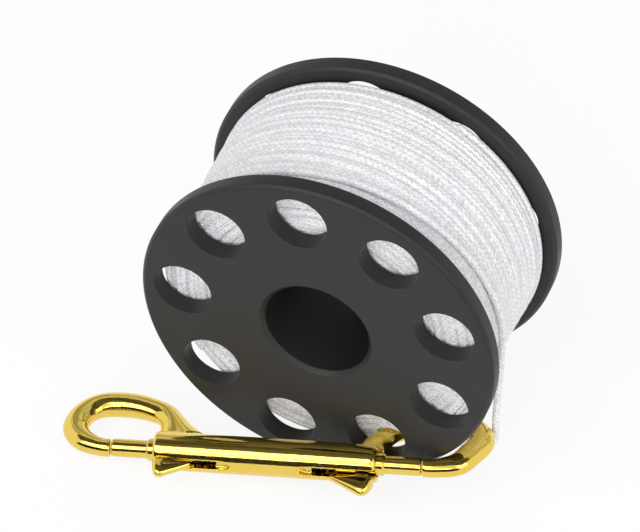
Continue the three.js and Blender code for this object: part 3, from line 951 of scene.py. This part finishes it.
def make_core():
    """The plain inner body of the winding, with a UV map like that of the turns."""
    inside, front, rear = CORE_RADII
    low, high = CORE_END, WIDTH - CORE_END
    profile = [(inside, low), (front, low), (rear, high), (inside, high)]
    origin = Vector((axis_x, front_inner, axis_z))
    core = lathe("line_core", softened(profile, 0.01), origin, spool_axis, 192, closed=True)
    flat = np.zeros(len(core.data.loops) * 2)
    places = np.array([v.co for v in core.data.vertices])
    for corner in core.data.loops:
        place = places[corner.vertex_index]
        flat[corner.index * 2] = in_mm(place[1])
        turned = math.atan2(place[2] - axis_z, place[0] - axis_x)
        flat[corner.index * 2 + 1] = turned * CORE_UV_ROUND
    core.data.uv_layers.new(name="way").data.foreach_set("uv", flat.astype(np.float32))
    return core


def make_winding():
    """Turns on both sides, the layers over them, the last turn, and the core under all."""
    rng = np.random.default_rng(7)
    parts = []
    for at_front in (True, False):
        points = pressed(side_spiral(rng, at_front))
        lead = np.tile(np.array(spool_axis, float), (len(points), 1))
        parts.append(tube("side", points, mm(TURN_WIDE), mm(TURN_HIGH), SIDE_TUBE, lead=lead))
    for *layer_row, sides in LAYERS:
        points = pressed(layer(rng, *layer_row))
        lead = points - np.array((axis_x, 0, axis_z))
        lead[:, 1] = 0
        parts.append(tube("layer", points, mm(TURN_WIDE), mm(TURN_HIGH), sides, lead=lead))
    parts.append(tube("last_turn", evenly(last_turn(), mm(LAST_STEP)), mm(LINE), mm(LINE), 14))
    parts.append(make_core())
    return join("wound_line", parts)


finish_piece(make_winding(), "spool", white, "white_line", "wound_line_core", "wound_line_outer")


# Snap


def prism(name, outline, low, high, order):
    """Extrudes an outline in the snap's frame, in mm. order gives the snap's axes for the outline's
    two ways and for the depth."""
    verts = []
    for depth in (low, high):
        for a, b in outline:
            place = [0.0, 0.0, 0.0]
            for axis, value in zip(order, (a, b, depth)):
                place[axis] = mm(value)
            verts.append(place)
    count = len(outline)
    faces = [tuple(range(count))[::-1], tuple(range(count, 2 * count))]
    for i in range(count):
        j = (i + 1) % count
        faces.append((i, j, j + count, i + count))
    made = mesh_object(name, in_row(np.array(verts)).tolist(), faces)
    tidy_mesh(made.data)
    return made


def hook_mesh(name, rows):
    lead = np.tile(np.array(out_of_snap), (len(rows), 1))
    return tube(name, in_row(rows[:, :3]), rows[:, 3], rows[:, 4], 32, lead=lead)


def barrel_cutters(sign):
    """The bore and the thumb slot of one half. The slot runs out inwards in a shallow leaf shape."""
    profile = [
        (0, HALF_BARREL - BORE_DEPTH),
        (BORE_RADIUS, HALF_BARREL - BORE_DEPTH),
        (BORE_RADIUS, HALF_BARREL + OVERRUN),
        (0, HALF_BARREL + OVERRUN),
    ]
    cutters = [lathe("bore", profile, snap_middle, along_snap * sign, 64)]
    inner = HALF_BARREL - SLOT_LENGTH
    leaf = [
        (inner, 0.0),
        (inner + 0.12 * LEAF, 0.42 * SLOT_HALF),
        (inner + 0.45 * LEAF, 0.82 * SLOT_HALF),
        (inner + LEAF, SLOT_HALF),
        (inner + LEAF + 1, SLOT_HALF),
    ]
    mouth = [(inner + LEAF, SLOT_HALF), (HALF_BARREL + OVERRUN, SLOT_HALF)]
    for half, depth in ((leaf, LEAF_DEPTH - BARREL), (mouth, 0)):
        other = [(x, -z) for x, z in reversed(half) if z > 0]
        outline = [(sign * x, z) for x, z in half + other]
        cutters.append(prism("slot", outline, -BARREL - OVERRUN, depth, (0, 2, 1)))
    return cutters


def remesh(made, rounds):
    """One even skin over all that the mesh holds, then smoothed."""
    skin = made.modifiers.new("skin", "REMESH")
    skin.mode = "VOXEL"
    skin.voxel_size = mm(VOXEL)
    smooth = made.modifiers.new("smooth", "SMOOTH")
    smooth.factor = 0.5
    smooth.iterations = rounds
    return flatten(made, 180)


def make_casting():
    """The barrel and both hooks in one skin, then bored, slotted and smoothed again."""
    profile = [
        (0, -HALF_BARREL),
        (BARREL - BARREL_EDGE, -HALF_BARREL),
        (BARREL, BARREL_EDGE - HALF_BARREL),
        (BARREL, HALF_BARREL - BARREL_EDGE),
        (BARREL - BARREL_EDGE, HALF_BARREL),
        (0, HALF_BARREL),
    ]
    barrel = lathe("barrel", profile, snap_middle, along_snap, 96)
    hooks = [hook_mesh("left", left_hook), hook_mesh("right", right_hook)]
    casting = join("snap_casting", [barrel] + hooks)
    remesh(casting, 8)
    for sign in (-1, 1):
        for cutter in barrel_cutters(sign):
            boolean(casting, cutter, "DIFFERENCE")
    return remesh(casting, 6)


finish_piece(make_casting(), "snap", brass, "polished_brass", "snap_body")


# Bolts, thumb knobs and springs


def make_bolt(side, sign):
    """A thick guide inside the barrel and the bolt that reaches the hook's tip."""
    front = HALF_BARREL + STAND_OUT
    tip = HALF_BARREL + GATE
    profile = [
        (0, front - GUIDE_LENGTH),
        (GUIDE, front - GUIDE_LENGTH),
        (GUIDE, front - GUIDE_EDGE),
        (BOLT + GUIDE_STEP, front),
        (BOLT, front + GUIDE_STEP),
        (BOLT, tip - BOLT_EDGE),
        (BOLT - BOLT_EDGE, tip),
        (0, tip),
    ]
    profile = softened(profile, 0.25)
    return lathe(f"{side}_bolt_turned", profile, snap_middle, along_snap * sign, 64)


def knob_wedge(side, sign):
    """A rounded wedge: D-shaped sections that rise from its thick end and run out to its thin one."""
    setback, length, _, drop = KNOB_PLACE[side]
    base = BARREL + SEAT
    ways = np.linspace(0, 1, 41)
    heights = KNOB_HEIGHT * np.interp(ways, *zip(*KNOB_RISE))
    halves = np.interp(ways, *zip(*KNOB_HALF_WIDTH))
    angles = np.linspace(0, math.pi, 25)
    round_z = np.sign(np.cos(angles)) * np.abs(np.cos(angles)) ** (2 / KNOB_ROUND)
    round_y = np.sin(angles) ** (2 / KNOB_ROUND)
    rows = []
    for way, height, half in zip(ways, heights, halves):
        x = sign * (HALF_BARREL - setback - way * length)
        rows += [(x, -base - height * y, half * z - drop) for y, z in zip(round_y, round_z)]
    sides = len(angles)
    faces = [tuple(range(sides))[::-1], tuple(range(len(rows) - sides, len(rows)))]
    for i in range(len(ways) - 1):
        for k in range(sides):
            a, b = i * sides + k, i * sides + (k + 1) % sides
            faces.append((a, b, b + sides, a + sides))
    made = mesh_object(f"{side}_knob_wedge", in_row(mm(np.array(rows))).tolist(), faces)
    tidy_mesh(made.data)
    return made


def make_knob(side, sign):
    """The wedge on a neck that reaches the bolt through the slot, turned a little in the slot."""
    low, high = (sign * (HALF_BARREL - end) for end in NECK_ENDS)
    top, foot = -BARREL - SEAT - NECK_SUNK, -NECK_FOOT
    outline = [(low, top), (high, top), (high, foot), (low, foot)]
    neck = prism("neck", outline, -NECK_HALF, NECK_HALF, (0, 1, 2))
    knob = boolean(knob_wedge(side, sign), neck, "UNION")
    turn = Matrix.Rotation(math.radians(KNOB_PLACE[side][2]), 4, along_snap)
    knob.data.transform(Matrix.Translation(snap_middle) @ turn @ Matrix.Translation(-snap_middle))
    return knob


def make_spring(side, sign):
    """The coil between the guide's back and the bore's floor, with its fixed and its moving end."""
    back = HALF_BARREL + STAND_OUT - GUIDE_LENGTH - SEAT - COIL_ROOM
    floor = HALF_BARREL - BORE_DEPTH + SEAT + COIL_ROOM
    share = np.linspace(0, 1, COIL_TURNS * 40)
    angle = share * COIL_TURNS * 2 * math.pi
    way = sign * (back + (floor - back) * share)
    rows = in_row(mm(np.stack([way, COIL * np.cos(angle), COIL * np.sin(angle)], axis=1)))
    made = tube(f"{side}_spring_coil", rows, mm(COIL_WIRE), mm(COIL_WIRE), 10)
    ends = in_row(np.array([[sign * mm(floor), 0, 0], [sign * mm(back), 0, 0]]))
    return made, tuple(ends[0]), tuple(ends[1])


for side, sign in (("left", -1), ("right", 1)):
    body = f"{side}_bolt"
    finish_piece(make_bolt(side, sign), body, brass, "polished_brass", f"{side}_bolt")
    finish_piece(make_knob(side, sign), body, brass, "polished_brass", f"{side}_thumb_knob")
    coil, coil_start, coil_end = make_spring(side, sign)
    finish_piece(coil, None, bore_shaded_steel, "spring_steel", f"{side}_spring")
    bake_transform(coil)


# Floor, world and lights, in metres and watts

FLOOR_HALF = 3.0
FLOOR_GREY = 0.9
FLOOR_PLAIN = 0.86  # share of plain white in what is seen directly
WORLD_STRENGTH = 0.66
# Name, near lower and far upper corner, darkest and palest grey
CARDS = (
    ("dark_front", (-0.8, -0.62, 0.0), (0.8, -0.62, 0.36), 0.004, 0.02),
    ("grey_rear", (-1.2, 1.2, 0.32), (1.2, 0.5, 1.15), 0.35, 0.9),
    ("dark_top", (-1.2, 0.5, 1.15), (1.2, -0.48, 1.15), 0.05, 0.14),
)
# Name, place, size, power
LAMPS = (
    ("key", (-0.7, -1.1, 1.5), 1.2, 12),
    ("fill", (1.2, -0.5, 0.9), 1.0, 5),
    ("front", (0.25, -1.4, 0.55), 0.9, 10),
)


def seen_directly(n):
    """1 on the rays that show the background: from the camera, or by way of metal or glass."""
    path = n.add("ShaderNodeLightPath")
    seen = n.math("MAXIMUM", path.outputs["Is Camera Ray"], path.outputs["Is Glossy Ray"])
    return n.math("MAXIMUM", seen, path.outputs["Is Transmission Ray"])


def floor_material():
    """White, with most of what is seen directly plain white, so that a faint shadow is left."""
    n = Nodes(bpy.data.materials.new("white_floor"))
    grey = colour(FLOOR_GREY, FLOOR_GREY, FLOOR_GREY)
    paper = n.filled("ShaderNodeBsdfDiffuse", {"Color": grey})
    glow = n.add("ShaderNodeEmission")
    return n.surface(n.mix_shader(n.math("MULTIPLY", seen_directly(n), FLOOR_PLAIN), paper, glow))


def card_material(name, darkest, palest):
    n = Nodes(bpy.data.materials.new(name))
    cloud = n.noise(n.place(), 5.0, 2.0)
    grey = n.spread(cloud, 0.38, 0.62, darkest, palest)
    return n.surface(n.filled("ShaderNodeEmission", {"Color": grey}))


def sheet(name, near, far, material):
    """A flat rectangle whose near and far edges run along x."""
    (x0, y0, z0), (x1, y1, z1) = near, far
    verts = [(x0, y0, z0), (x1, y0, z0), (x1, y1, z1), (x0, y1, z1)]
    made = mesh_object(name, verts, [(0, 1, 2, 3)])
    made.data.materials.append(material)
    return made


def make_card(name, near, far, darkest, palest):
    """A cloudy grey backdrop outside the view, which only polished and glossy faces show."""
    card = sheet(name, near, far, card_material(name, darkest, palest))
    card.visible_camera = False
    card.visible_diffuse = False
    card.visible_transmission = False
    card.visible_shadow = False


def make_world():
    """White where it is seen directly, and a softer white as light."""
    n = Nodes(bpy.data.worlds.new("studio"), "ShaderNodeOutputWorld")
    soft = n.filled("ShaderNodeBackground", {"Color": colour(1, 1, 1), "Strength": WORLD_STRENGTH})
    plain = n.filled("ShaderNodeBackground", {"Color": colour(1, 1, 1)})
    bpy.context.scene.world = n.surface(n.mix_shader(seen_directly(n), soft, plain))


def area_light(name, place, size, power):
    """A square lamp that faces the spool."""
    lamp = bpy.data.lights.new(name, "AREA")
    lamp.size = size
    lamp.energy = power
    way = spool_centre - Vector(place)
    turn = way.to_track_quat("-Z", "Y").to_matrix().to_4x4()
    new_object(name, lamp).matrix_world = Matrix.Translation(place) @ turn


floor = sheet("floor", (-FLOOR_HALF, -FLOOR_HALF, 0), (FLOOR_HALF, FLOOR_HALF, 0), floor_material())
for card_row in CARDS:
    make_card(*card_row)
make_world()
for lamp_row in LAMPS:
    area_light(*lamp_row)
bpy.context.scene.view_settings.view_transform = "Standard"
